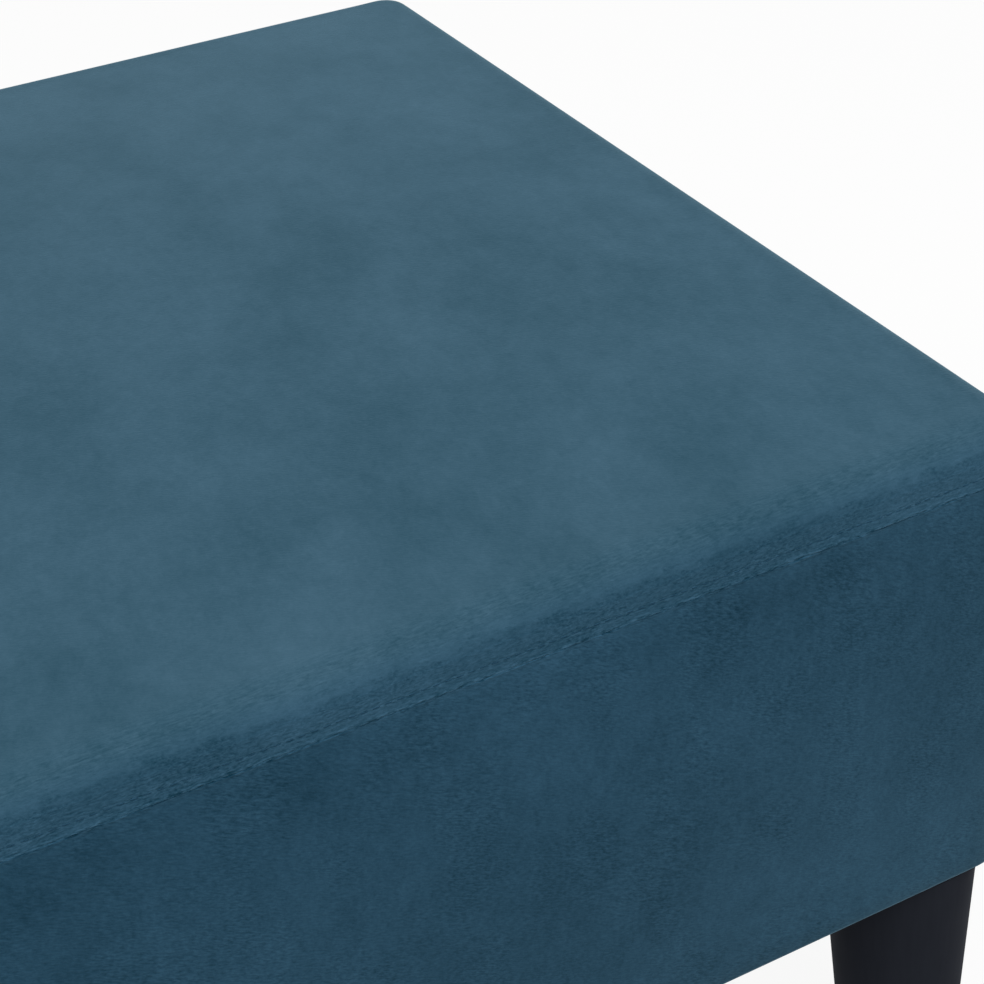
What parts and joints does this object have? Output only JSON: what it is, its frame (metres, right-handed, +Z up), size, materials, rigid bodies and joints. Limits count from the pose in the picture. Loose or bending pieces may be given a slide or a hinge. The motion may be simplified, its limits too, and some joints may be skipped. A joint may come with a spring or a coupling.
{
  "type": "footstool",
  "caption": "Low rectangular footstool: taut velvet box seat with a stitched seam under its rounded top edge, on short round tapered legs that screw into a timber frame.",
  "frame": {"origin": "on the floor under the middle of the seat", "axes": "+Z up, +X along the length of the seat, front face towards -Y"},
  "size_m": [0.78, 0.56, 0.32],
  "materials": {
    "velvet": "short-pile petrol blue velvet",
    "wadding": "white polyester wadding",
    "foam": "cut cream polyurethane foam",
    "timber": "sawn pine",
    "plywood": "plywood board",
    "zinc_steel": "bright zinc plating",
    "dust_cloth": "black spunbond cloth",
    "black_lacquer": "black satin lacquer on turned wood",
    "black_plastic": "moulded black plastic"
  },
  "bodies": {
    "stool_box": {"corner_block_back_left": "timber", "corner_block_back_right": "timber", "corner_block_front_left": "timber", "corner_block_front_right": "timber", "cover_back": "velvet", "cover_front": "velvet", "cover_left": "velvet", "cover_right": "velvet", "cover_top": "velvet", "cross_rail": "timber", "deck_board": "plywood", "deck_screws": "zinc_steel", "dust_cover": "dust_cloth", "dust_cover_staples": "zinc_steel", "frame_rail_back": "timber", "frame_rail_front": "timber", "frame_rail_left": "timber", "frame_rail_right": "timber", "frame_screws": "zinc_steel", "seat_foam": "foam", "seat_wadding": "wadding", "side_padding_back": "wadding", "side_padding_front": "wadding", "side_padding_left": "wadding", "side_padding_right": "wadding", "t_nuts": "zinc_steel"},
    "glide_front_left": {"leg_glide_front_left": "black_plastic"},
    "leg_front_left": {"leg_front_left": "black_lacquer", "leg_bolt_front_left": "zinc_steel"},
    "glide_front_right": {"leg_glide_front_right": "black_plastic"},
    "leg_front_right": {"leg_front_right": "black_lacquer", "leg_bolt_front_right": "zinc_steel"},
    "glide_back_left": {"leg_glide_back_left": "black_plastic"},
    "leg_back_left": {"leg_back_left": "black_lacquer", "leg_bolt_back_left": "zinc_steel"},
    "glide_back_right": {"leg_glide_back_right": "black_plastic"},
    "leg_back_right": {"leg_back_right": "black_lacquer", "leg_bolt_back_right": "zinc_steel"}
  },
  "joints": [
    {"name": "leg_front_left_back_out", "type": "slide", "parent": "stool_box", "child": "glide_front_left", "axis": [0, 0, -1], "range_m": [0, 0.035]},
    {"name": "leg_front_left_turn", "type": "hinge", "parent": "glide_front_left", "child": "leg_front_left", "pos_m": [-0.3585, -0.2485, 0], "axis": [0, 0, -1], "range_deg": [0, 9900]},
    {"name": "leg_front_right_back_out", "type": "slide", "parent": "stool_box", "child": "glide_front_right", "axis": [0, 0, -1], "range_m": [0, 0.035]},
    {"name": "leg_front_right_turn", "type": "hinge", "parent": "glide_front_right", "child": "leg_front_right", "pos_m": [0.3585, -0.2485, 0], "axis": [0, 0, -1], "range_deg": [0, 9900]},
    {"name": "leg_back_left_back_out", "type": "slide", "parent": "stool_box", "child": "glide_back_left", "axis": [0, 0, -1], "range_m": [0, 0.035]},
    {"name": "leg_back_left_turn", "type": "hinge", "parent": "glide_back_left", "child": "leg_back_left", "pos_m": [-0.3585, 0.2485, 0], "axis": [0, 0, -1], "range_deg": [0, 9900]},
    {"name": "leg_back_right_back_out", "type": "slide", "parent": "stool_box", "child": "glide_back_right", "axis": [0, 0, -1], "range_m": [0, 0.035]},
    {"name": "leg_back_right_turn", "type": "hinge", "parent": "glide_back_right", "child": "leg_back_right", "pos_m": [0.3585, 0.2485, 0], "axis": [0, 0, -1], "range_deg": [0, 9900]}
  ],
  "couplings": [
    {"joint": "leg_front_left_back_out", "follows": "leg_front_left_turn", "m_per_rad": 0.00019894},
    {"joint": "leg_front_right_back_out", "follows": "leg_front_right_turn", "m_per_rad": 0.00019894},
    {"joint": "leg_back_left_back_out", "follows": "leg_back_left_turn", "m_per_rad": 0.00019894},
    {"joint": "leg_back_right_back_out", "follows": "leg_back_right_turn", "m_per_rad": 0.00019894}
  ]
}
